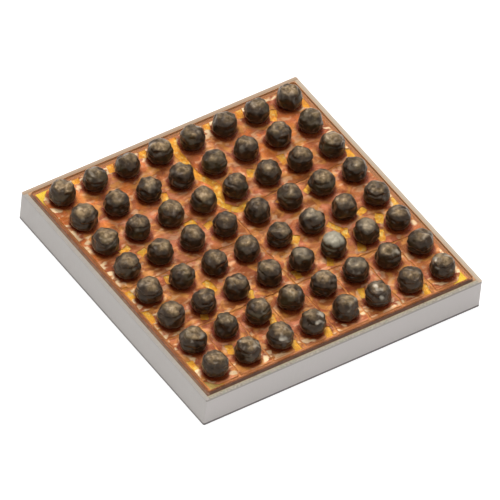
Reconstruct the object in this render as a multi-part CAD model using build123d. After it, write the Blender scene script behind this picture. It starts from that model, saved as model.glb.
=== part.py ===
from build123d import *
import os
from math import asin, cos, degrees, pi, radians, sin, sqrt

# A wafer-level ball grid chip, lying on its back with its balls up.
# Millimetres, +Z up. The origin is the centre of the back face.
# -Y is the front and -X the left. Ball rows run along X and are lettered from the front.

# Ball grid
balls_per_side = 8
ball_pitch = 0.40
ball_diameter = 0.26
ball_sides = 12
ball_latitudes = [-14, 14, 46]
row_letters = "abcdefghjklmnprt"

# Silicon die and the film on its back
edge_margin = 0.30
silicon_thickness = 0.335
coating_thickness = 0.025
die_corner_chamfer = 0.012

# The chip's own last metal, on the silicon
chip_metal_thickness = 0.003
chip_pad_width = 0.050
chip_pad_clearance = 0.012
seal_ring_inset = 0.032
seal_ring_width = 0.014
seal_ring_gap = 0.010

# Lower and upper polymer films, inside the sawing street
street_width = 0.050
lower_polymer_thickness = 0.008
upper_polymer_thickness = 0.008
upper_polymer_setback = 0.012
polymer_corner_cut = 0.020
polymer_edge_bevel = 0.005

# Redistribution copper between the two films
copper_thickness = 0.006
copper_setback = 0.070
copper_corner_cut = 0.110
copper_gap = 0.020
via_width = 0.034
via_inset = 0.045
strip_rows = 2

# Winding channel between the two back pours, points in pitches from the centre
channel_width = 0.085
channel_bend_radius = 0.070
channel_points = [(0.27, 4.4), (0.02, 3.45), (-0.04, 2.55), (0.24, 1.95), (-0.04, 1.32), (0.22, 0.92), (0.62, 1.0)]

# Windows in the copper: centre x and y in pitches, length in pitches, turn of the length in degrees
window_width = 0.080
copper_windows = [
    # left edge
    (-3.88, -0.15, 0.44, 90),
    (-3.88, -1.10, 0.46, 84),
    (-3.88, -3.06, 0.36, 90),
    (-3.10, 1.18, 0.34, 20),
    (-2.74, 0.90, 0.30, 15),
    # front edge
    (-2.74, -3.08, 0.34, 70),
    (-1.20, -3.80, 0.46, 82),
    (-1.20, -2.74, 0.40, 78),
    (-0.22, -3.80, 0.40, 80),
    (2.80, -3.78, 0.42, 74),
    (1.32, -3.08, 0.36, 75),
    # middle
    (-2.72, -0.24, 0.32, 80),
    (-2.64, -1.76, 0.30, 60),
    (-1.92, -0.95, 0.46, 100),
    (-1.18, -1.70, 0.34, 65),
    (-1.12, 1.15, 0.34, 0),
    (-0.74, 0.87, 0.30, 15),
    (-1.18, 2.24, 0.38, 75),
    (0.24, -1.72, 0.32, 85),
    (0.90, -0.66, 0.34, 50),
    (1.24, -1.74, 0.34, 62),
    (1.24, 1.90, 0.32, 55),
    (1.38, 0.72, 0.30, 30),
    (2.24, -1.70, 0.40, 60),
    (2.02, -0.78, 0.42, 115),
    (2.14, -1.10, 0.36, 70),
    (2.24, 0.70, 0.36, 20),
    (2.24, 1.90, 0.40, 80),
    # right edge
    (2.90, -1.62, 0.44, 68),
    (3.20, -1.10, 0.36, 60),
    (2.94, -0.66, 0.34, 20),
    (3.92, -0.80, 0.34, 70),
    (3.88, 1.22, 0.34, 70),
    (2.92, 3.34, 0.44, 60),
    (3.90, 3.30, 0.34, 60),
    # back edge
    (-2.80, 3.96, 0.36, 70),
    (-1.76, 3.90, 0.50, 76),
    (-0.78, 3.88, 0.42, 70),
    (1.22, 3.92, 0.40, 70),
    (2.22, 3.90, 0.50, 72),
]

# Under-ball metal: an eight-sided pad that fills its opening and stands a little proud of the film
ubm_sides = 8
ubm_diameter = 0.205
ubm_stand_proud = 0.005

# Plan sizes that follow
die_width = (balls_per_side - 1) * ball_pitch + 2 * edge_margin
lower_polymer_width = die_width - 2 * street_width
upper_polymer_width = lower_polymer_width - 2 * upper_polymer_setback
seal_ring_outside = lower_polymer_width - 2 * seal_ring_inset
seal_ring_inside = seal_ring_outside - 2 * seal_ring_width
chip_metal_width = seal_ring_inside - 2 * seal_ring_gap
copper_width = lower_polymer_width - 2 * copper_setback

# Heights that follow
die_bottom = coating_thickness
die_top = die_bottom + silicon_thickness
chip_metal_top = die_top + chip_metal_thickness
lower_polymer_top = die_top + lower_polymer_thickness
copper_top = lower_polymer_top + copper_thickness
upper_polymer_top = copper_top + upper_polymer_thickness
ubm_top = upper_polymer_top + ubm_stand_proud
ball_radius = ball_diameter / 2
seat_drop = sqrt(ball_radius**2 - (ubm_diameter / 2) ** 2)
ball_centre_height = ubm_top + seat_drop


# Places on the chip
def ball_line(index):
    """The middle of one ball row or column, counted from the front or the left."""
    return (index - (balls_per_side - 1) / 2) * ball_pitch


def lattice_line(index):
    """The line before a ball row or column, midway to its neighbour."""
    return (index - balls_per_side / 2) * ball_pitch


def row_places(row):
    return [Pos(ball_line(column), ball_line(row)) for column in range(balls_per_side)]


def via_places():
    """Contacts to the chip: one by each ball of the front and back rows, and fewer at the sides."""
    edge = copper_width / 2 - via_inset
    lines = [ball_line(index) for index in range(balls_per_side)]
    places = [Pos(x, y) for x in lines for y in (-edge, edge)]
    places += [Pos(x, y) for y in lines[strip_rows:-strip_rows:2] for x in (-edge, edge)]
    return places


# Shared shapes
def cut_square(width, corner_cut):
    """A square with its corners cut off."""
    return chamfer(Rectangle(width, width).vertices(), corner_cut)


def layer(outline, bottom, top):
    return Pos(0, 0, bottom) * extrude(outline, top - bottom)


def film(width, bottom, top):
    """A polymer film, with the sloped rim of a cured one."""
    slab = layer(cut_square(width, polymer_corner_cut), bottom, top)
    rim = slab.faces().sort_by(Axis.Z)[-1].outer_wire().edges()
    return chamfer(rim, polymer_edge_bevel)


def via_posts(width, bottom, top):
    """Square posts at every via place."""
    return [layer(place * Rectangle(width, width), bottom, top) for place in via_places()]


def even_polygon(diameter, sides):
    """A regular polygon with the same area as a circle of that diameter."""
    share = 2 * pi / (sides * sin(2 * pi / sides))
    return RegularPolygon(diameter / 2 * sqrt(share), sides)


# Die, coating and chip metal
def backside_coating():
    return layer(cut_square(die_width, die_corner_chamfer), 0, die_bottom)


def silicon_die():
    return layer(cut_square(die_width, die_corner_chamfer), die_bottom, die_top)


def chip_pads():
    return via_posts(chip_pad_width, die_top, chip_metal_top)


def chip_top_metal():
    """One plane of metal, clear of the pads."""
    clearance_width = chip_pad_width + 2 * chip_pad_clearance
    sheet = Rectangle(chip_metal_width, chip_metal_width)
    sheet -= [place * Rectangle(clearance_width, clearance_width) for place in via_places()]
    return layer(sheet, die_top, chip_metal_top)


def seal_ring():
    ring = Rectangle(seal_ring_outside, seal_ring_outside) - Rectangle(seal_ring_inside, seal_ring_inside)
    return layer(ring, die_top, chip_metal_top)


def lower_polymer():
    """The lower film, filled in round the chip metal and open at the vias."""
    lower = film(lower_polymer_width, die_top, lower_polymer_top)
    lower -= [chip_top_metal(), seal_ring()] + chip_pads()
    lower -= via_posts(via_width, chip_metal_top, lower_polymer_top)
    return lower


# Redistribution copper
def net_gaps():
    """Straight gaps between the nets, midway between ball rows and columns."""
    beyond = copper_width
    strips_back = lattice_line(strip_rows)
    middle = lattice_line(balls_per_side // 2)
    right_split = lattice_line(balls_per_side // 2 + 1)
    channel_end = channel_points[-1][0] * ball_pitch
    lines = [
        Line((-beyond, strips_back), (beyond, strips_back)),
        Line((-beyond, middle), (middle, middle)),
        Line((middle, strips_back), (middle, right_split + channel_width)),
        Line((channel_end - channel_width, right_split), (beyond, right_split)),
    ]
    for column in range(1, balls_per_side):
        x = lattice_line(column)
        lines.append(Line((x, -beyond), (x, strips_back)))
    return [trace(line, copper_gap) for line in lines]


def winding_channel():
    """A wide smooth gap that winds between two ball columns."""
    points = [(x * ball_pitch, y * ball_pitch) for x, y in channel_points]
    return trace(FilletPolyline(*points, radius=channel_bend_radius), channel_width)


def windows():
    """Openings in the pours that let the polymer grip and the chip metal show."""
    slots = []
    for x, y, length, turn in copper_windows:
        slots.append(Pos(x * ball_pitch, y * ball_pitch) * Rectangle(length * ball_pitch, window_width, turn))
    return slots


def copper_nets():
    """The etched copper, with a plug down each via, as one solid for each net."""
    sheet = cut_square(copper_width, copper_corner_cut)
    sheet -= net_gaps() + [winding_channel()] + windows()
    copper = layer(sheet, lower_polymer_top, copper_top)
    copper += via_posts(via_width, chip_metal_top, lower_polymer_top)
    return copper.solids()


def net_node(net):
    """The node that a net belongs to, by where its middle lies."""
    middle = net.center()
    if middle.Y < lattice_line(strip_rows):
        return "copper_strips"
    depth = "back" if middle.Y > lattice_line(balls_per_side // 2) else "middle"
    side = "left" if middle.X < 0 else "right"
    return f"copper_pour_{depth}_{side}"


# Upper film, under-ball metal and balls
def upper_polymer(copper):
    """The upper film, filled in round the copper and open at the balls."""
    upper = film(upper_polymer_width, lower_polymer_top, upper_polymer_top)
    opening = layer(even_polygon(ubm_diameter, ubm_sides), copper_top, upper_polymer_top)
    openings = [place * opening for row in range(balls_per_side) for place in row_places(row)]
    return upper - copper - openings


def ubm_pad():
    return layer(even_polygon(ubm_diameter, ubm_sides), copper_top, ubm_top)


def solder_ball():
    """A ball cut flat where it has wetted its metal, with flat sides because there are so many."""
    seat_latitude = -degrees(asin(seat_drop / ball_radius))
    sections = []
    for latitude in [seat_latitude] + ball_latitudes:
        height = ball_centre_height + ball_radius * sin(radians(latitude))
        sections.append(Pos(0, 0, height) * even_polygon(ball_diameter * cos(radians(latitude)), ball_sides))
    sections.append(Vertex(0, 0, ball_centre_height + ball_radius))
    return loft(sections, ruled=True)


def save(name, shapes):
    """Write one node, as a group of separate solids where it has several."""
    group = Compound(children=[solid for shape in shapes for solid in shape.solids()])
    group.label = name
    export_step(group, f"parts/{name}.step")


os.makedirs("parts", exist_ok=True)
save("backside_coating", [backside_coating()])
save("silicon_die", [silicon_die()])
save("chip_pads", chip_pads())
save("chip_top_metal", [chip_top_metal()])
save("seal_ring", [seal_ring()])
save("lower_polymer", [lower_polymer()])

nets = copper_nets()
for name in sorted({net_node(net) for net in nets}):
    save(name, [net for net in nets if net_node(net) == name])
save("upper_polymer", [upper_polymer(nets)])

for row in range(balls_per_side):
    letter = row_letters[row]
    save(f"ubm_pads_row_{letter}", [place * ubm_pad() for place in row_places(row)])
    save(f"solder_balls_row_{letter}", [place * solder_ball() for place in row_places(row)])
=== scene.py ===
import bmesh
import bpy
import math
import random
from mathutils import Matrix, Vector, noise


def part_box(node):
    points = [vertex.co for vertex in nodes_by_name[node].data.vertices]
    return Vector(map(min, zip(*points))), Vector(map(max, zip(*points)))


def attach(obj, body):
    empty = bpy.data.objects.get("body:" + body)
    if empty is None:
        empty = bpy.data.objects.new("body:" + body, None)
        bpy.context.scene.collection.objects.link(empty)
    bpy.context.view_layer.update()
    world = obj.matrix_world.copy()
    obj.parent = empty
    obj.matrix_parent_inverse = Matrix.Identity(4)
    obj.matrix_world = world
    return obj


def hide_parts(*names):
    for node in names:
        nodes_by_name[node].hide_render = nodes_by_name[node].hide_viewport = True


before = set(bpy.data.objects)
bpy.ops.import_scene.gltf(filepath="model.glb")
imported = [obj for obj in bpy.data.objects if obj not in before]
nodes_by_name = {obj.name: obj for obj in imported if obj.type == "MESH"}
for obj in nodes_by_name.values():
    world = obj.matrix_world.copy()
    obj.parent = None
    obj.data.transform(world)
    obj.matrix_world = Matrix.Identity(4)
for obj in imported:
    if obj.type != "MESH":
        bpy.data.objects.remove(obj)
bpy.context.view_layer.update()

# Units, in metres
MM = 0.001
UM = 0.000001

# Driving sizes, the same as the part's
BALLS_PER_SIDE = 8
ROW_LETTERS = "abcdefgh"
PITCH = 0.40 * MM
BALL_RADIUS = 0.13 * MM
SEAT_RADIUS = 0.1025 * MM
FILM_CORNER_CUT = 20 * UM
COPPER_CORNER_CUT = 0.11 * MM
RING_WIDTH = 14 * UM


# Sizes read from the frame, where every node is centred on the chip
def size_of(name):
    """Half the width of a node, and the height of its top."""
    corners = [vertex.co for vertex in nodes_by_name[name].data.vertices]
    return max(corner.x for corner in corners), max(corner.z for corner in corners)


DIE_HALF, DIE_TOP = size_of("silicon_die")
RING_HALF, CHIP_METAL_TOP = size_of("seal_ring")
LOWER_FILM_HALF, LOWER_FILM_TOP = size_of("lower_polymer")
COPPER_HALF, COPPER_TOP = size_of("copper_strips")
UPPER_FILM_HALF, UPPER_FILM_TOP = size_of("upper_polymer")
SEAT_HEIGHT = size_of("ubm_pads_row_a")[1]
BALL_TOP = size_of("solder_balls_row_a")[1]
RING_INSIDE = RING_HALF - RING_WIDTH

# Where the copper's corner is cut, as the sum of x and y
COPPER_CORNER = 2 * COPPER_HALF - COPPER_CORNER_CUT

# The ball with a brighter top, and how much wider the balls at the left edge have spread
PALE_BALL = (1.5 * PITCH, -1.5 * PITCH)
LEFT_SPREAD = 0.05

# Fineness of the balls, the films and the etched sheet
STEPS_AROUND = 72
STEPS_UP = 44
LOWER_FILM_CELLS = 12
UPPER_FILM_CELLS = 220
ETCH_CELL = 25 * UM

# Etching: how far edges wander, how round corners are, and how far below its level the face may lie
EDGE_WANDER = 16 * UM
CORNER_ROUNDING = 20 * UM
DEEPEST_FACE = 4.4 * UM

# The rolled rim of the films: points inward from the lower film's edge and up from the die
RIM_SECTION = [
    (0.0, 0.2),
    (1.0, 5.0),
    (4.5, 8.2),
    (9.0, 10.0),
    (11.0, 15.0),
    (13.0, 20.0),
    (15.0, 22.2),
    (16.5, 22.0),
    (17.5, 20.0),
    (17.5, 0.2),
]
RIM_INSIDE = LOWER_FILM_HALF - RIM_SECTION[-1][0] * UM


# Camera: the photograph's direction, with its slight tilt
def photo_camera():
    """Place the camera, and return its level right, the up that belongs to it, and the way toward it."""
    azimuth, elevation, roll = math.radians(-38.42), math.radians(45.21), math.radians(6.21)
    toward = Vector((
        math.sin(azimuth) * math.cos(elevation),
        -math.cos(azimuth) * math.cos(elevation),
        math.sin(elevation),
    ))
    right = Vector((0, 0, 1)).cross(toward).normalized()
    up = toward.cross(right)
    tilted_right = math.cos(roll) * right + math.sin(roll) * up
    tilted_up = -math.sin(roll) * right + math.cos(roll) * up
    aim = Vector((0, 0, DIE_TOP)) - 0.0165 * MM * tilted_right - 0.1356 * MM * tilted_up

    data = bpy.data.cameras.new("photo_camera")
    data.lens, data.sensor_width = 1000, 36
    frame_width = 5.098 * MM
    distance = frame_width * data.lens / data.sensor_width
    data.clip_start, data.clip_end = 0.001, 2.0
    camera = bpy.data.objects.new("photo_camera", data)
    bpy.context.scene.collection.objects.link(camera)
    axes = Matrix((tilted_right, tilted_up, toward)).transposed().to_4x4()
    camera.matrix_world = Matrix.Translation(aim + distance * toward) @ axes
    bpy.context.scene.camera = camera
    return right, up, toward


right, up, toward_camera = photo_camera()
scene = bpy.context.scene
scene.view_settings.view_transform = "Standard"


# Node helpers
class Nodes:
    """Short calls for building one node tree."""

    def __init__(self, tree):
        self.tree = tree

    def add(self, kind, inputs=None, **settings):
        node = self.tree.nodes.new(kind)
        for name, value in settings.items():
            setattr(node, name, value)
        for key, value in (inputs or {}).items():
            if isinstance(value, bpy.types.NodeSocket):
                self.tree.links.new(value, node.inputs[key])
            else:
                node.inputs[key].default_value = value
        return node

    def math(self, operation, *values, clamp=False):
        inputs = dict(enumerate(values))
        return self.add("ShaderNodeMath", inputs, operation=operation, use_clamp=clamp).outputs[0]

    def vector_math(self, operation, inputs):
        return self.add("ShaderNodeVectorMath", inputs, operation=operation).outputs[0]

    def times(self, first, second):
        return self.math("MULTIPLY", first, second)

    def larger(self, first, second):
        return self.math("MAXIMUM", first, second)

    def place(self):
        return self.add("ShaderNodeTexCoord").outputs["Object"]

    def split(self, vector):
        return self.add("ShaderNodeSeparateXYZ", {0: vector}).outputs

    def stretched(self, vector, x, y, z):
        return self.add("ShaderNodeMapping", {"Vector": vector, "Scale": (x, y, z)}).outputs[0]

    def noise(self, vector, size, detail=4.0, roughness=0.55, distortion=0.0):
        """Noise from 0 to 1, with features of about that size in metres."""
        inputs = {
            "Vector": vector,
            "Scale": 1 / size,
            "Detail": detail,
            "Roughness": roughness,
            "Distortion": distortion,
        }
        return self.add("ShaderNodeTexNoise", inputs).outputs["Fac"]

    def band(self, value, low, high, new_low=0.0, new_high=1.0):
        """A smooth step as value goes from low to high."""
        inputs = {"Value": value, "From Min": low, "From Max": high, "To Min": new_low, "To Max": new_high}
        return self.add("ShaderNodeMapRange", inputs, interpolation_type="SMOOTHSTEP").outputs["Result"]

    def blend(self, factor, first, second):
        inputs = {0: factor, 6: first, 7: second}
        return self.add("ShaderNodeMix", inputs, data_type="RGBA").outputs[2]

    def bump(self, height, distance, strength=1.0, normal=None):
        inputs = {"Height": height, "Distance": distance, "Strength": strength}
        if normal is not None:
            inputs["Normal"] = normal
        return self.add("ShaderNodeBump", inputs).outputs[0]


def colour(red, green, blue):
    """A colour given as it looks on screen, 0 to 255, as the linear values that Blender wants."""
    channels = []
    for value in (red, green, blue):
        share = value / 255
        channels.append(share / 12.92 if share <= 0.04045 else ((share + 0.055) / 1.055) ** 2.4)
    return (*channels, 1.0)


def principled(name):
    material = bpy.data.materials.new(name)
    material.use_nodes = True
    shader = material.node_tree.nodes["Principled BSDF"]
    return material, Nodes(material.node_tree), shader


def connect(nodes, socket, shader, name):
    nodes.tree.links.new(socket, shader.inputs[name])


# White surroundings and soft light
def seen_directly(nodes):
    """1 for rays that show the background itself: from the camera, or by way of gloss or glass."""
    path = nodes.add("ShaderNodeLightPath").outputs
    first = nodes.math("ADD", path["Is Camera Ray"], path["Is Glossy Ray"])
    return nodes.math("ADD", first, path["Is Transmission Ray"], clamp=True)


def white_world(ambient):
    world = bpy.data.worlds.new("white_surroundings")
    world.use_nodes = True
    scene.world = world
    nodes = Nodes(world.node_tree)
    background = world.node_tree.nodes["Background"]
    strength = nodes.band(seen_directly(nodes), 0.0, 1.0, ambient, 1.0)
    background.inputs["Color"].default_value = (1, 1, 1, 1)
    nodes.tree.links.new(strength, background.inputs["Strength"])


def white_floor():
    """A floor with an opening below the die, so that its back face can be seen and lit from below."""
    floor_half = 120 * MM
    opening_half = DIE_HALF - 10 * UM
    level = -0.5 * UM
    mesh = bpy.data.meshes.new("floor")
    corners = []
    for half in (floor_half, opening_half):
        corners += [(-half, -half, level), (half, -half, level), (half, half, level), (-half, half, level)]
    mesh.from_pydata(corners, [], [(i, (i + 1) % 4, (i + 1) % 4 + 4, i + 4) for i in range(4)])
    floor = bpy.data.objects.new("floor", mesh)
    scene.collection.objects.link(floor)
    material, nodes, shader = principled("white_floor")
    shader.inputs["Base Color"].default_value = (0.8, 0.8, 0.8, 1)
    shader.inputs["Roughness"].default_value = 1.0
    shader.inputs["Specular IOR Level"].default_value = 0.0
    shader.inputs["Emission Color"].default_value = (1, 1, 1, 1)
    glow = nodes.times(seen_directly(nodes), 0.62)
    connect(nodes, glow, shader, "Emission Strength")
    mesh.materials.append(material)


def soft_sun(name, direction, strength, angle):
    data = bpy.data.lights.new(name, "SUN")
    data.energy, data.angle = strength, math.radians(angle)
    lamp = bpy.data.objects.new(name, data)
    lamp.rotation_mode = "QUATERNION"
    lamp.rotation_quaternion = direction.to_track_quat("Z", "Y")
    scene.collection.objects.link(lamp)


away = Vector((-toward_camera.x, -toward_camera.y, 0)).normalized()
white_world(0.63)
white_floor()
soft_sun("top_softbox", Vector((0, 0, 1)) + 0.50 * away - 0.22 * right, 0.98, 34)
soft_sun("small_lamp", 0.16 * right + 0.65 * up + 0.74 * toward_camera, 0.20, 8)


# Masks and patterns for the materials
def line_mask(nodes, value, centre, half_width, softness):
    """1 near centre and 0 away from it."""
    distance = nodes.math("ABSOLUTE", nodes.math("SUBTRACT", value, centre))
    return nodes.band(distance, half_width + softness, half_width, 0.0, 1.0)


def plan_radius(nodes, x, y):
    """How far out a point lies on a square plan."""
    return nodes.larger(nodes.math("ABSOLUTE", x), nodes.math("ABSOLUTE", y))


def left_face(nodes, x, elsewhere=0.0, there=1.0):
    """One value on the left side of the die, and another elsewhere."""
    return nodes.band(x, -DIE_HALF + 5 * UM, -DIE_HALF + 1 * UM, elsewhere, there)


def bent(nodes, place, size, amount):
    """The place, pushed about by noise so that straight lines bend."""
    inputs = {"Vector": place, "Scale": 1 / size, "Detail": 2.0}
    noise_colour = nodes.add("ShaderNodeTexNoise", inputs).outputs["Color"]
    centred = nodes.vector_math("SUBTRACT", {0: noise_colour, 1: (0.5, 0.5, 0.5)})
    pushed = nodes.vector_math("SCALE", {0: centred, "Scale": amount})
    return nodes.vector_math("ADD", {0: place, 1: pushed})


def ball_distance(nodes, x, y):
    """Distance to the middle of the nearest ball, in pitches."""
    squares = []
    for value in (x, y):
        share = nodes.math("FRACT", nodes.math("ADD", nodes.math("DIVIDE", value, PITCH), 20.0))
        squares.append(nodes.math("POWER", nodes.math("ABSOLUTE", nodes.math("SUBTRACT", share, 0.5)), 2.0))
    return nodes.math("SQRT", nodes.math("ADD", *squares))


def net_gap_mask(nodes, x, y):
    """1 along the straight gaps between the copper nets."""
    half, soft = 22 * UM, 4 * UM
    strips_back, middle, split = -2 * PITCH, 0.0, PITCH
    in_strips = nodes.band(y, strips_back + soft, strips_back)
    phase = nodes.math("FRACT", nodes.math("ADD", nodes.math("DIVIDE", x, PITCH), 20.5))
    column = nodes.times(nodes.math("SUBTRACT", phase, 0.5), PITCH)
    mask = nodes.times(line_mask(nodes, column, 0.0, half, soft), in_strips)
    mask = nodes.larger(mask, line_mask(nodes, y, strips_back, half, soft))
    to_the_left = nodes.times(line_mask(nodes, y, middle, half, soft), nodes.band(x, soft, 0.0))
    to_the_right = nodes.times(line_mask(nodes, y, split, half, soft), nodes.band(x, 0.20 * MM, 0.21 * MM))
    upright = nodes.times(line_mask(nodes, x, 0.0, half, soft), nodes.band(y, 0.30 * MM, 0.28 * MM))
    for part in (to_the_left, to_the_right, upright):
        mask = nodes.larger(mask, part)
    return mask


# Silicon and the film on its back
def sawn_side(nodes, place, x, z, saw_marks):
    """The sides of the die, darker just below their top edge."""
    cloud = nodes.noise(place, 0.35 * MM, 3)
    paint = nodes.blend(saw_marks, colour(198, 192, 188), colour(210, 204, 200))
    paint = nodes.blend(nodes.band(cloud, 0.3, 0.7), paint, colour(206, 199, 196))
    paint = nodes.blend(left_face(nodes, x), paint, colour(195, 189, 184))
    arris = line_mask(nodes, z, DIE_TOP - 10 * UM, 6 * UM, 14 * UM)
    arris = nodes.times(arris, left_face(nodes, x, 0.85, 0.2))
    return nodes.blend(arris, paint, colour(150, 142, 134))


def sawn_ledge(nodes, place, x, y):
    """The ledge round the films: speckled, stained beside them, darker beside the rim at the front, and
    warmer at the right and the back.
    """
    radius = plan_radius(nodes, x, y)
    speckle = nodes.noise(place, 24 * UM, 3, 0.7)
    tint = nodes.noise(place, 60 * UM, 2)
    paint = nodes.blend(nodes.band(speckle, 0.34, 0.66), colour(150, 139, 124), colour(192, 181, 164))
    paint = nodes.blend(nodes.band(tint, 0.52, 0.66, 0.0, 0.5), paint, colour(158, 160, 138))
    paint = nodes.blend(nodes.band(tint, 0.44, 0.34, 0.0, 0.5), paint, colour(172, 152, 148))
    by_film = nodes.band(radius, LOWER_FILM_HALF + 28 * UM, LOWER_FILM_HALF + 10 * UM, 0.0, 0.7)
    paint = nodes.blend(by_film, paint, colour(206, 191, 150))
    flecks = nodes.times(nodes.band(speckle, 0.54, 0.62), nodes.band(by_film, 0.1, 0.5, 0.0, 0.8))
    paint = nodes.blend(flecks, paint, colour(108, 84, 60))
    # Darker beside the rim at the front.
    by_rim = nodes.band(radius, LOWER_FILM_HALF + 14 * UM, LOWER_FILM_HALF, 0.0, 0.6)
    at_front = nodes.band(y, -LOWER_FILM_HALF + 10 * UM, -LOWER_FILM_HALF)
    paint = nodes.blend(nodes.times(by_rim, at_front), paint, colour(112, 86, 62))
    at_left = nodes.band(x, -LOWER_FILM_HALF - 2 * UM, -LOWER_FILM_HALF - 10 * UM, 0.0, 0.65)
    paint = nodes.blend(at_left, paint, colour(180, 172, 166))

    def edge_step(value):
        return nodes.band(value, LOWER_FILM_HALF + 1 * UM, LOWER_FILM_HALF + 8 * UM)

    def outward(value, near_paint, far_paint):
        across = nodes.band(value, LOWER_FILM_HALF + 2 * UM, LOWER_FILM_HALF + 40 * UM)
        return nodes.blend(across, near_paint, far_paint)

    outer = nodes.larger(x, y)
    right_paint = outward(outer, colour(198, 174, 146), colour(212, 192, 168))
    back_paint = outward(y, colour(170, 132, 98), colour(198, 168, 138))
    far_paint = nodes.blend(edge_step(y), right_paint, back_paint)
    return nodes.blend(nodes.times(edge_step(outer), 0.85), paint, far_paint)


def face_below_films(nodes, x, y):
    """The die's face as seen through the films: dark, and lighter outside the copper."""
    outside_copper = nodes.band(nodes.larger(x, y), COPPER_HALF - 10 * UM, COPPER_HALF + 10 * UM)
    paint = nodes.blend(outside_copper, colour(108, 66, 42), colour(192, 140, 100))
    inside_ring = nodes.band(plan_radius(nodes, x, y), RING_INSIDE + 2 * UM, RING_INSIDE - 2 * UM)
    at_front = nodes.band(y, -COPPER_HALF, -COPPER_HALF - 10 * UM)
    return nodes.blend(nodes.times(inside_ring, at_front), paint, colour(190, 120, 80))


def silicon_material():
    """Sawn sides, a speckled ledge round the top, and a dark face below the films."""
    material, nodes, shader = principled("sawn_silicon")
    place = nodes.place()
    x, y, z = nodes.split(place)
    saw_marks = nodes.noise(nodes.stretched(place, 1, 1, 0.12), 14 * UM, 3)
    below_films = nodes.band(plan_radius(nodes, x, y), LOWER_FILM_HALF + 6 * UM, LOWER_FILM_HALF)
    top = nodes.blend(below_films, sawn_ledge(nodes, place, x, y), face_below_films(nodes, x, y))
    on_top = nodes.band(z, DIE_TOP - 0.8 * UM, DIE_TOP - 0.2 * UM)
    paint = nodes.blend(on_top, sawn_side(nodes, place, x, z, saw_marks), top)
    connect(nodes, paint, shader, "Base Color")
    connect(nodes, nodes.band(saw_marks, 0.2, 0.8, 0.42, 0.6), shader, "Roughness")
    connect(nodes, nodes.bump(saw_marks, 0.6 * UM, 0.5), shader, "Normal")
    return material


def back_film_material():
    """Dark grey film, mottled and faintly rough."""
    material, nodes, shader = principled("back_film")
    place = nodes.place()
    x, _, _ = nodes.split(place)
    grain = nodes.noise(place, 7 * UM, 4, 0.6)
    mottle = nodes.noise(place, 60 * UM, 4, 0.65)
    cloud = nodes.noise(place, 0.5 * MM, 3)
    paint = nodes.blend(grain, colour(94, 88, 86), colour(120, 113, 111))
    paint = nodes.blend(nodes.band(mottle, 0.40, 0.65, 0.0, 0.6), paint, colour(80, 75, 74))
    paint = nodes.blend(nodes.band(cloud, 0.40, 0.65, 0.0, 0.5), paint, colour(126, 117, 110))
    paint = nodes.blend(left_face(nodes, x, 0.0, 0.8), paint, colour(140, 133, 128))
    connect(nodes, paint, shader, "Base Color")
    connect(nodes, nodes.band(mottle, 0.3, 0.7, 0.62, 0.46), shader, "Roughness")
    relief = nodes.bump(mottle, 3 * UM, 1.0)
    connect(nodes, nodes.bump(grain, 0.8 * UM, 0.6, relief), shader, "Normal")
    return material


# Metals in the films
def chip_metal_material():
    """Warm yellow metal, coppery below the gaps between nets and outside them, with painted highlight
    flecks and painted shade round the balls.
    """
    material, nodes, shader = principled("chip_metal")
    place = nodes.place()
    x, y, _ = nodes.split(place)
    cloud = nodes.noise(place, 90 * UM, 3, 0.55)
    patch = nodes.noise(place, 70 * UM, 2, 0.5, 0.4)
    painted_highlight_flecks = nodes.noise(place, 50 * UM, 2, 0.5)
    paint = nodes.blend(nodes.band(cloud, 0.38, 0.62), colour(255, 194, 66), colour(255, 174, 46))
    toward_back = nodes.band(y, 0.2 * MM, 1.3 * MM, 0.0, 0.55)
    paint = nodes.blend(toward_back, paint, colour(250, 158, 46))
    paint = nodes.blend(nodes.band(patch, 0.50, 0.68, 0.0, 0.7), paint, colour(234, 130, 42))
    # Bright flecks of painted highlight on the metal.
    paint = nodes.blend(nodes.band(painted_highlight_flecks, 0.54, 0.66, 0.0, 0.7), paint, colour(255, 222, 130))
    corner = nodes.math("ADD", nodes.math("ABSOLUTE", x), nodes.math("ABSOLUTE", y))
    in_corner = nodes.band(corner, COPPER_CORNER - 50 * UM, COPPER_CORNER - 10 * UM)
    paint = nodes.blend(in_corner, paint, colour(255, 216, 64))
    diagonal = nodes.math("ADD", x, y)
    in_front_corner = nodes.band(diagonal, -COPPER_CORNER + 50 * UM, -COPPER_CORNER + 10 * UM)
    paint = nodes.blend(in_front_corner, paint, colour(210, 182, 108))
    paint = nodes.blend(net_gap_mask(nodes, x, y), paint, colour(234, 148, 86))
    outside = nodes.band(plan_radius(nodes, x, y), COPPER_HALF - 4 * UM, COPPER_HALF + 2 * UM)
    outside = nodes.times(outside, nodes.band(corner, COPPER_CORNER - 30 * UM, COPPER_CORNER - 70 * UM))
    at_front = nodes.band(y, -COPPER_HALF + 10 * UM, -COPPER_HALF)
    outside_paint = nodes.blend(at_front, colour(196, 118, 70), colour(232, 148, 96))
    paint = nodes.blend(outside, paint, outside_paint)
    # Painted shade round each ball's foot.
    painted_shade_near_ball = nodes.band(ball_distance(nodes, x, y), 0.42, 0.32, 0.0, 0.6)
    paint = nodes.blend(painted_shade_near_ball, paint, colour(150, 76, 34))
    connect(nodes, paint, shader, "Base Color")
    shader.inputs["Metallic"].default_value = 0.35
    shader.inputs["Roughness"].default_value = 0.36
    shader.inputs["Specular Tint"].default_value = (1.0, 0.80, 0.46, 1.0)
    connect(nodes, nodes.bump(cloud, 14 * UM, 1.0), shader, "Normal")
    return material


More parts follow.
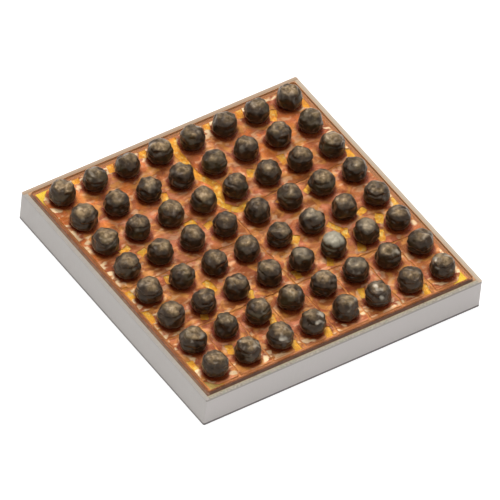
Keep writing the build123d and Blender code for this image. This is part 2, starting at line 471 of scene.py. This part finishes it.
def seal_ring_material():
    """Brown metal, darker along the front and lighter along the right and the back."""
    material, nodes, shader = principled("seal_ring_metal")
    place = nodes.place()
    x, y, _ = nodes.split(place)
    cloud = nodes.noise(place, 70 * UM, 4, 0.6)
    step_start, step_end = RING_INSIDE - 14 * UM, RING_INSIDE - 4 * UM
    paint = nodes.blend(nodes.band(cloud, 0.35, 0.65), colour(170, 92, 56), colour(140, 72, 44))
    paint = nodes.blend(nodes.band(y, -step_start, -step_end), paint, colour(118, 64, 34))
    paint = nodes.blend(nodes.band(nodes.larger(x, y), step_start, step_end), paint, colour(182, 116, 76))
    connect(nodes, paint, shader, "Base Color")
    shader.inputs["Metallic"].default_value = 0.6
    shader.inputs["Roughness"].default_value = 0.36
    connect(nodes, nodes.bump(cloud, 3 * UM, 0.6), shader, "Normal")
    return material


def painted_glints(nodes, place, radius):
    """Small painted highlights, glints, on the copper, most of them toward its edges."""
    uneven_place = nodes.stretched(bent(nodes, place, 80 * UM, 50 * UM), 1, 1.5, 1)
    glint_mask = nodes.noise(uneven_place, 0.10 * MM, 1, 0.5, 0.3)
    more_outside = nodes.band(radius, COPPER_HALF - 0.16 * MM, COPPER_HALF - 0.06 * MM, 0.0, 0.05)
    glint_mask = nodes.band(nodes.math("ADD", glint_mask, more_outside), 0.54, 0.66)
    stronger_outside = nodes.band(radius, COPPER_HALF - 0.24 * MM, COPPER_HALF - 0.08 * MM, 0.32, 1.0)
    return nodes.times(glint_mask, stronger_outside)


def copper_material():
    """Plated copper below the film: soft blotches of rust, peach, pink and gold, light streaks and glints
    of painted highlight, and painted shade round the balls.
    """
    material, nodes, shader = principled("plated_copper")
    place = nodes.place()
    x, y, _ = nodes.split(place)
    radius = plan_radius(nodes, x, y)
    cloud = nodes.noise(place, 0.20 * MM, 2, 0.45)
    stain = nodes.noise(place, 0.16 * MM, 2, 0.5, 0.5)
    gold = nodes.noise(place, 0.17 * MM, 2, 0.45, 0.6)
    ember = nodes.noise(place, 0.26 * MM, 2, 0.45, 0.5)
    pink = nodes.noise(nodes.stretched(place, 0.7, 1.3, 1), 0.15 * MM, 2, 0.45, 0.4)
    streaks_and_highlights = nodes.noise(nodes.stretched(place, 1, 2.4, 1), 0.16 * MM, 1, 0.5, 0.5)
    grain = nodes.noise(place, 14 * UM, 3)
    paint = nodes.blend(nodes.band(cloud, 0.36, 0.64), colour(188, 110, 60), colour(170, 86, 50))
    paint = nodes.blend(nodes.band(pink, 0.48, 0.64, 0.0, 0.8), paint, colour(212, 132, 98))
    paint = nodes.blend(nodes.band(gold, 0.46, 0.58, 0.0, 0.8), paint, colour(216, 148, 70))
    paint = nodes.blend(nodes.band(stain, 0.51, 0.62, 0.0, 0.7), paint, colour(132, 52, 30))
    ember = nodes.times(nodes.band(ember, 0.52, 0.62, 0.0, 0.6), nodes.band(y, 0.0, 0.6 * MM))
    paint = nodes.blend(ember, paint, colour(232, 124, 52))
    # Light streaks: painted highlight along the wrinkles, which are also bumped.
    paint = nodes.blend(nodes.band(streaks_and_highlights, 0.54, 0.72, 0.0, 0.5), paint, colour(240, 176, 122))
    # Pale glints: painted highlight, strongest toward the copper's edges.
    paint = nodes.blend(nodes.times(painted_glints(nodes, place, radius), 0.92), paint, colour(252, 224, 178))
    along_front = nodes.band(y, -COPPER_HALF + 24 * UM, -COPPER_HALF + 18 * UM, 0.0, 0.6)
    paint = nodes.blend(along_front, paint, colour(222, 148, 98))
    # Dark red ring round each ball: painted shade, with a wandering edge.
    wander = nodes.times(nodes.math("SUBTRACT", stain, 0.5), 0.2)
    from_ball = nodes.math("ADD", ball_distance(nodes, x, y), wander)
    paint = nodes.blend(nodes.band(from_ball, 0.43, 0.33), paint, colour(108, 30, 10))
    connect(nodes, paint, shader, "Base Color")
    connect(nodes, nodes.band(grain, 0.2, 0.8, 0.38, 0.48), shader, "Roughness")
    shader.inputs["Metallic"].default_value = 0.4
    shader.inputs["Specular Tint"].default_value = (1.0, 0.76, 0.60, 1.0)
    swell = nodes.noise(bent(nodes, place, 70 * UM, 36 * UM), 0.16 * MM, 0, 0.4)
    uneven = nodes.bump(streaks_and_highlights, 3 * UM, 1.0, nodes.bump(swell, 32 * UM, 1.0))
    connect(nodes, uneven, shader, "Normal")
    return material


def under_ball_material():
    material, nodes, shader = principled("under_ball_metal")
    cloud = nodes.noise(nodes.place(), 30 * UM, 4, 0.6)
    paint = nodes.blend(nodes.band(cloud, 0.35, 0.65), colour(120, 62, 42), colour(84, 44, 34))
    connect(nodes, paint, shader, "Base Color")
    shader.inputs["Metallic"].default_value = 0.8
    shader.inputs["Roughness"].default_value = 0.45
    return material


# Films
def film_material(name, base, alpha):
    """Clear amber film with a glossy face."""
    material, nodes, shader = principled(name)
    place = nodes.place()
    cloud = nodes.noise(place, 0.12 * MM, 3)
    deep = tuple(0.8 * channel for channel in base[:3]) + (1.0,)
    paint = nodes.blend(nodes.band(cloud, 0.35, 0.65), base, deep)
    connect(nodes, paint, shader, "Base Color")
    shader.inputs["Alpha"].default_value = alpha
    shader.inputs["Roughness"].default_value = 0.25
    shader.inputs["Coat Weight"].default_value = 0.3
    shader.inputs["Coat Roughness"].default_value = 0.12
    shader.inputs["Coat IOR"].default_value = 1.7
    ripple = nodes.noise(bent(nodes, place, 50 * UM, 40 * UM), 0.10 * MM, 1, 0.4)
    connect(nodes, nodes.bump(ripple, 24 * UM, 1.0), shader, "Normal")
    return material


def rim_material():
    """Dark brown along the front, partly painted shade; lighter at the left; pale at the right and the
    back, painted light.
    """
    material, nodes, shader = principled("film_rim")
    place = nodes.place()
    x, y, _ = nodes.split(place)
    cloud = nodes.noise(place, 50 * UM, 4, 0.6)
    patches = nodes.band(cloud, 0.35, 0.65)
    # Dark brown at the front: the film's own dark edge, with painted shade.
    dark_edge_and_shade_front = nodes.blend(patches, colour(84, 48, 26), colour(108, 64, 36))
    left_paint = nodes.blend(patches, colour(124, 86, 62), colour(152, 112, 84))
    # Pale at the right and the back: painted light on the rim's far faces.
    far_paint = nodes.blend(cloud, colour(232, 178, 128), colour(212, 156, 108))
    at_left = nodes.band(x, -LOWER_FILM_HALF + 40 * UM, -LOWER_FILM_HALF + 20 * UM)
    at_far = nodes.band(nodes.larger(x, y), LOWER_FILM_HALF - 50 * UM, LOWER_FILM_HALF - 20 * UM)
    paint = nodes.blend(at_far, nodes.blend(at_left, dark_edge_and_shade_front, left_paint), far_paint)
    connect(nodes, paint, shader, "Base Color")
    shader.inputs["Roughness"].default_value = 0.35
    connect(nodes, nodes.bump(cloud, 3 * UM, 0.5), shader, "Normal")
    return material


# Solder
def solder_material():
    """Oxidised solder with painted light and shade: near black low down, grey brown on the lit top, painted
    shade at the foot, and painted glints in places at the front.
    """
    material, nodes, shader = principled("oxidised_solder")
    place = nodes.place()
    x, y, z = nodes.split(place)
    cloud = nodes.noise(place, 0.11 * MM, 3, 0.55)
    crust = nodes.noise(place, 50 * UM, 3, 0.55)
    grain = nodes.noise(place, 12 * UM, 3, 0.6)
    olive = nodes.noise(place, 0.22 * MM, 2)
    glint_spots = nodes.noise(bent(nodes, place, 60 * UM, 30 * UM), 0.10 * MM, 1, 0.5)
    wander = nodes.times(nodes.math("SUBTRACT", cloud, 0.5), 0.10 * MM)
    height = nodes.math("ADD", z, wander)
    # Lighter crown and near black lower part: painted light from above and painted shade below, on dark
    # oxide.
    lit_top = nodes.band(height, BALL_TOP - 42 * UM, BALL_TOP + 27 * UM)
    patches = nodes.band(crust, 0.35, 0.65)
    shaded_oxide = nodes.blend(patches, colour(34, 22, 13), colour(56, 38, 22))
    lit_oxide = nodes.blend(patches, colour(122, 99, 66), colour(190, 163, 124))
    paint = nodes.blend(lit_top, shaded_oxide, lit_oxide)
    paint = nodes.blend(nodes.band(olive, 0.5, 0.68, 0.0, 0.4), paint, colour(80, 70, 42))
    offsets = [nodes.math("ABSOLUTE", nodes.math("SUBTRACT", *pair)) for pair in zip((x, y), PALE_BALL)]
    from_pale = nodes.math("ADD", *offsets)
    greyer = nodes.band(from_pale, 0.9 * MM, 0.3 * MM, 0.0, 0.5)
    greyer = nodes.times(greyer, nodes.band(height, BALL_TOP - 57 * UM, BALL_TOP + 13 * UM))
    paint = nodes.blend(greyer, paint, colour(156, 150, 132))
    pale = nodes.band(from_pale, 0.22 * MM, 0.20 * MM, 0.0, 0.8)
    pale = nodes.times(pale, nodes.band(height, BALL_TOP - 67 * UM, BALL_TOP + 3 * UM))
    paint = nodes.blend(pale, paint, colour(198, 194, 176))
    # Dark red at the foot: painted shade, tinged by the copper's colour.
    painted_foot_shade = nodes.band(z, SEAT_HEIGHT + 63 * UM, SEAT_HEIGHT + 3 * UM, 0.0, 0.8)
    paint = nodes.blend(painted_foot_shade, paint, colour(58, 22, 10))
    # Painted glints: pale, more metallic spots high on the balls, mostly at the front.
    glint_paint_mask = nodes.times(nodes.band(glint_spots, 0.57, 0.78), nodes.band(y, -0.9 * MM, -1.2 * MM, 0.15, 0.75))
    glint_paint_mask = nodes.times(glint_paint_mask, nodes.band(z, BALL_TOP - 107 * UM, BALL_TOP - 57 * UM))
    paint = nodes.blend(glint_paint_mask, paint, colour(200, 194, 180))
    connect(nodes, paint, shader, "Base Color")
    connect(nodes, nodes.band(glint_paint_mask, 0.0, 1.0, 0.2, 0.7), shader, "Metallic")
    connect(nodes, nodes.band(cloud, 0.38, 0.66, 0.46, 0.28), shader, "Roughness")
    shader.inputs["Specular IOR Level"].default_value = 0.30
    shader.inputs["Specular Tint"].default_value = (1.0, 0.80, 0.58, 1.0)
    shader.inputs["Sheen Weight"].default_value = 0.20
    shader.inputs["Sheen Roughness"].default_value = 0.4
    shader.inputs["Sheen Tint"].default_value = (1.0, 0.68, 0.42, 1.0)
    shader.inputs["Coat Weight"].default_value = 0.3
    shader.inputs["Coat Roughness"].default_value = 0.16
    shader.inputs["Coat Tint"].default_value = (1.0, 0.86, 0.70, 1.0)
    relief = nodes.bump(grain, 0.8 * UM, 0.3, nodes.bump(crust, 8 * UM, 0.7))
    connect(nodes, relief, shader, "Normal")
    return material


# Meshes
def new_piece(name, vertices, faces, material, slot, *replaced, smooth=True):
    mesh = bpy.data.meshes.new(name)
    mesh.from_pydata([tuple(vertex) for vertex in vertices], [], faces)
    mesh.validate()
    mesh.update()
    if smooth:
        mesh.shade_smooth()
    mesh.materials.append(material)
    piece = bpy.data.objects.new(name, mesh)
    scene.collection.objects.link(piece)
    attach(piece, "root")
    if replaced:
        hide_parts(*replaced)


def smooth_step(value):
    value = min(max(value, 0.0), 1.0)
    return value * value * (3 - 2 * value)


def direction_at(turn, rise):
    """The unit vector at a turn in plan and a rise above level, in radians."""
    return Vector((math.cos(turn) * math.cos(rise), math.sin(turn) * math.cos(rise), math.sin(rise)))


def ball_line(index):
    """The middle of one ball row or column."""
    return (index - (BALLS_PER_SIDE - 1) / 2) * PITCH


def nearest_ball(x, y):
    """Distance from a point to the middle of the nearest ball."""
    def to_line(value):
        index = round(value / PITCH + (BALLS_PER_SIDE - 1) / 2)
        return value - ball_line(min(max(index, 0), BALLS_PER_SIDE - 1))
    return math.hypot(to_line(x), to_line(y))


# Balls
def ball_shape(draw, spread, creased):
    """The radius of one ball as a function of direction: squarish, lumpy, dented, with folds round it."""
    offset = Vector((draw.uniform(0, 90), draw.uniform(0, 90), draw.uniform(0, 90)))
    dents = []
    for _ in range(draw.randint(2, 4)):
        aim = direction_at(draw.uniform(0, 2 * math.pi), draw.uniform(-0.1, 1.3))
        dents.append((aim, draw.uniform(0.06, 0.14), draw.uniform(0.20, 0.42)))
    folds = []
    for _ in range(draw.randint(1, 3)):
        middle = draw.uniform(0, 2 * math.pi)
        folds.append((draw.uniform(-0.35, 0.75), middle, draw.uniform(0.9, 2.4), draw.uniform(0.03, 0.07)))
    if creased:
        near_side = math.atan2(toward_camera.y, toward_camera.x)
        height, middle = draw.uniform(0.25, 0.60), near_side + draw.uniform(-0.3, 0.3)
        folds.append((height, middle, 1.3, draw.uniform(0.06, 0.09)))
    size = draw.uniform(0.96, 1.04) + spread
    flat = draw.uniform(0.0, 0.07)
    shoulder = draw.uniform(0.02, 0.06)

    def radius(direction):
        rise = math.asin(min(max(direction.z, -1.0), 1.0))
        turn = math.atan2(direction.y, direction.x)
        value = size + shoulder * math.sin(2 * rise) ** 2
        value += 0.05 * math.exp(-((rise + 0.30) / 0.30) ** 2)
        value += 0.06 * noise.noise(direction * 1.1 + offset)
        value += 0.10 * noise.noise(direction * 2.2 + 2 * offset)
        value += 0.035 * noise.noise(direction * 4.5 + 3 * offset)
        sway = 0.22 * noise.noise(direction * 1.6 + offset)
        for height, middle, reach, depth in folds:
            turned = abs((turn - middle + math.pi) % (2 * math.pi) - math.pi)
            share = smooth_step((reach - turned) / 0.5)
            gap = rise - height - sway
            value -= share * depth * math.exp(-(gap / 0.09) ** 2)
            value += 0.6 * share * depth * math.exp(-((gap - 0.2) / 0.13) ** 2)
        for aim, depth, width in dents:
            gap = direction.angle(aim) / width
            value -= depth * math.exp(-gap * gap)
            value += 0.25 * depth * math.exp(-((gap - 1.5) / 0.5) ** 2)
        value -= flat * smooth_step((direction.z - 0.75) / 0.25)
        return value

    return radius


def add_ball(vertices, faces, x, y, radius):
    """Add one closed ball, held to its even shape where it meets its seat."""
    drop = math.sqrt(BALL_RADIUS**2 - SEAT_RADIUS**2)
    centre = Vector((x, y, SEAT_HEIGHT + drop))
    seat_latitude = -math.asin(drop / BALL_RADIUS)
    held_rings = 5
    first = len(vertices)
    for ring in range(STEPS_UP):
        latitude = seat_latitude + (math.pi / 2 - seat_latitude) * ring / STEPS_UP
        hold = smooth_step(ring / held_rings)
        for step in range(STEPS_AROUND):
            direction = direction_at(2 * math.pi * step / STEPS_AROUND, latitude)
            share = 1 + (radius(direction) - 1) * hold
            vertices.append(centre + direction * BALL_RADIUS * share)
    top = len(vertices)
    pole = Vector((0, 0, 1))
    vertices.append(centre + pole * BALL_RADIUS * radius(pole))
    bottom = len(vertices)
    vertices.append(Vector((x, y, SEAT_HEIGHT)))
    last = first + (STEPS_UP - 1) * STEPS_AROUND
    for start in range(first, last, STEPS_AROUND):
        for step in range(STEPS_AROUND):
            a, b = start + step, start + (step + 1) % STEPS_AROUND
            faces.append((a, b, b + STEPS_AROUND, a + STEPS_AROUND))
    for step in range(STEPS_AROUND):
        after = (step + 1) % STEPS_AROUND
        faces.append((last + step, last + after, top))
        faces.append((first + after, first + step, bottom))


def solder_row(row, material):
    letter = ROW_LETTERS[row]
    low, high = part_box(f"solder_balls_row_{letter}")
    y = (low.y + high.y) / 2
    vertices, faces = [], []
    for column in range(BALLS_PER_SIDE):
        draw = random.Random(1000 + 37 * row + column)
        radius = ball_shape(draw, LEFT_SPREAD if column == 0 else 0.0, row == 0 or column == 0)
        add_ball(vertices, faces, ball_line(column), y, radius)
    new_piece(f"wrinkled_balls_row_{letter}", vertices, faces, material, "solder",
              f"solder_balls_row_{letter}")


# Films and their rim
def film_slab(name, half, bottom, top, relief, cells, material, replaced):
    """A closed thin slab whose top is raised by relief(x, y)."""
    vertices, faces = [], []
    across = cells + 1

    def place_at(i, j):
        return -half + 2 * half * i / cells, -half + 2 * half * j / cells

    for j in range(across):
        for i in range(across):
            x, y = place_at(i, j)
            vertices.append((x, y, top + relief(x, y)))
    under = len(vertices)
    rim = [(i, 0) for i in range(cells)] + [(cells, j) for j in range(cells)]
    rim += [(i, cells) for i in range(cells, 0, -1)] + [(0, j) for j in range(cells, 0, -1)]
    for i, j in rim:
        vertices.append((*place_at(i, j), bottom))
    for j in range(cells):
        for i in range(cells):
            a = j * across + i
            faces.append((a, a + 1, a + across + 1, a + across))
    count = len(rim)
    for step, (i, j) in enumerate(rim):
        after = (step + 1) % count
        next_i, next_j = rim[after]
        faces.append((under + step, under + after, next_j * across + next_i, j * across + i))
    faces.append(tuple(under + step for step in range(count - 1, -1, -1)))
    new_piece(name, vertices, faces, material, "polymer", replaced)


def flat_relief(x, y):
    return 0.0


def upper_relief(x, y):
    """Film drawn up round each ball, and gently uneven between them."""
    gap = (nearest_ball(x, y) - SEAT_RADIUS) / (35 * UM)
    rise = 3.0 * UM * math.exp(-max(gap, 0.0))
    wave = 1.6 * UM * noise.noise(Vector((x, y, 0)) / (0.11 * MM))
    fine = 0.5 * UM * noise.noise(Vector((x, y, 3)) / (40 * UM))
    edge = UPPER_FILM_HALF - max(abs(x), abs(y))
    return (rise + wave + fine) * smooth_step(edge / (30 * UM))


def film_slabs():
    """The two films, each reaching a little way into the rim."""
    lower_material = film_material("lower_amber_film", colour(250, 190, 60), 0.035)
    film_slab("lower_film", RIM_INSIDE + 0.3 * UM, CHIP_METAL_TOP + 0.4 * UM, LOWER_FILM_TOP - 0.3 * UM,
              flat_relief, LOWER_FILM_CELLS, lower_material, "lower_polymer")
    upper_material = film_material("clear_amber_film", colour(232, 138, 48), 0.05)
    film_slab("upper_film", RIM_INSIDE + 0.5 * UM, COPPER_TOP + 0.4 * UM, UPPER_FILM_TOP,
              upper_relief, UPPER_FILM_CELLS, upper_material, "upper_polymer")


def rim_ring(material):
    """The rolled dark rim of the two films, as one closed ring."""
    vertices, faces = [], []
    outline = []
    for sx, sy in ((1, -1), (1, 1), (-1, 1), (-1, -1)):
        ends = [(sx, sy, 0), (sx, sy, 1)]
        outline += ends if sx == sy else ends[::-1]
    for sx, sy, cut_along_x in outline:
        for inward, up_from_die in RIM_SECTION:
            radius = LOWER_FILM_HALF - inward * UM
            cut = FILM_CORNER_CUT * radius / LOWER_FILM_HALF
            dx, dy = (cut, 0) if cut_along_x else (0, cut)
            vertices.append((sx * (radius - dx), sy * (radius - dy), DIE_TOP + up_from_die * UM))
    size, turns = len(RIM_SECTION), len(outline)
    for turn in range(turns):
        ahead = (turn + 1) % turns
        for k in range(size):
            after = (k + 1) % size
            faces.append((turn * size + k, ahead * size + k, ahead * size + after, turn * size + after))
    new_piece("film_rim", vertices, faces, material, "polymer", smooth=False)


# Etched copper
def clear_of_ball(x, y):
    """0 below a ball's seat, rising to 1 a little way outside it."""
    return smooth_step((nearest_ball(x, y) - SEAT_RADIUS - 12.5 * UM) / (30 * UM))


def etched_face(x, y):
    """How far the copper's uneven face lies below its level."""
    swell = 2.6 * UM * noise.noise(Vector((x, y, 0)) / (0.12 * MM))
    ripple = 0.8 * UM * noise.noise(Vector((x, 2 * y, 5)) / (0.10 * MM))
    drop = min(max(DEEPEST_FACE / 2 - swell - ripple, 0.0), DEEPEST_FACE)
    return drop * clear_of_ball(x, y)


def etched_edge(x, y):
    """How far the etch has wandered in plan at a point."""
    hold = clear_of_ball(x, y) * smooth_step((COPPER_HALF - max(abs(x), abs(y))) / (30 * UM))
    place = Vector((x, y, 0)) / (80 * UM)
    elsewhere = place + Vector((9, 4, 2))
    return EDGE_WANDER * hold * noise.noise(place), EDGE_WANDER * hold * noise.noise(elsewhere)


def round_corners(mesh):
    """Round the upright corners of the etched sheet, windows and gaps alike."""
    upright = []
    for edge in mesh.edges:
        a, b = (vertex.co for vertex in edge.verts)
        in_sheet = min(a.z, b.z) > LOWER_FILM_TOP - 0.5 * UM
        if in_sheet and abs(a.z - b.z) > 4 * UM and (a.xy - b.xy).length < 0.1 * UM:
            upright.append(edge)
    bmesh.ops.bevel(mesh, geom=upright, affect="EDGES", offset=CORNER_ROUNDING, offset_type="OFFSET",
                    segments=3, profile=0.5, clamp_overlap=True)


def cut_in_cells(mesh, cell):
    """Cut every face along a square grid."""
    for axis in (0, 1):
        values = [vertex.co[axis] for vertex in mesh.verts]
        first, last = math.ceil(min(values) / cell), math.floor(max(values) / cell)
        normal = (1, 0, 0) if axis == 0 else (0, 1, 0)
        for step in range(first, last + 1):
            geometry = mesh.verts[:] + mesh.edges[:] + mesh.faces[:]
            cut_at = [step * cell * part for part in normal]
            bmesh.ops.bisect_plane(mesh, geom=geometry, dist=0.05 * UM, plane_co=cut_at, plane_no=normal)


def top_rim(mesh):
    """The vertices along the edges of the upward faces."""
    rim = set()
    for edge in mesh.edges:
        flat = [face for face in edge.link_faces if face.normal.z > 0.7]
        if len(flat) == 1:
            rim.update(edge.verts)
    return rim


def etched_copper(name, material):
    """The node's own solid with rounded corners, wandering edges and an uneven top."""
    mesh = bmesh.new()
    mesh.from_mesh(nodes_by_name[name].data)
    bmesh.ops.remove_doubles(mesh, verts=mesh.verts[:], dist=0.1 * UM)
    bmesh.ops.dissolve_limit(mesh, angle_limit=math.radians(1), verts=mesh.verts[:], edges=mesh.edges[:])
    round_corners(mesh)
    bmesh.ops.triangulate(mesh, faces=mesh.faces[:])
    cut_in_cells(mesh, ETCH_CELL)
    rim = top_rim(mesh)
    for vertex in mesh.verts:
        x, y, z = vertex.co
        if z > COPPER_TOP - 0.2 * UM:
            vertex.co.z -= etched_face(x, y) + (1.0 * UM if vertex in rim else 0.0)
        shift_x, shift_y = etched_edge(x, y)
        vertex.co.x += shift_x
        vertex.co.y += shift_y
    bmesh.ops.triangulate(mesh, faces=mesh.faces[:])
    vertices = [vertex.co.copy() for vertex in mesh.verts]
    mesh.verts.index_update()
    faces = [tuple(vertex.index for vertex in face.verts) for face in mesh.faces]
    mesh.free()
    new_piece(f"etched_{name}", vertices, faces, material, "copper", name, smooth=False)


# The dressed part
def dress(name, material):
    mesh = nodes_by_name[name].data
    mesh.materials.clear()
    mesh.materials.append(material)


dress("silicon_die", silicon_material())
dress("backside_coating", back_film_material())
chip_metal = chip_metal_material()
for name in ("chip_pads", "chip_top_metal"):
    dress(name, chip_metal)
dress("seal_ring", seal_ring_material())
copper = copper_material()
under_ball = under_ball_material()
for name in nodes_by_name:
    if name.startswith("copper_"):
        etched_copper(name, copper)
    if name.startswith("ubm_pads"):
        dress(name, under_ball)
film_slabs()
rim_ring(rim_material())
solder = solder_material()
for row in range(BALLS_PER_SIDE):
    solder_row(row, solder)

bpy.context.view_layer.update()
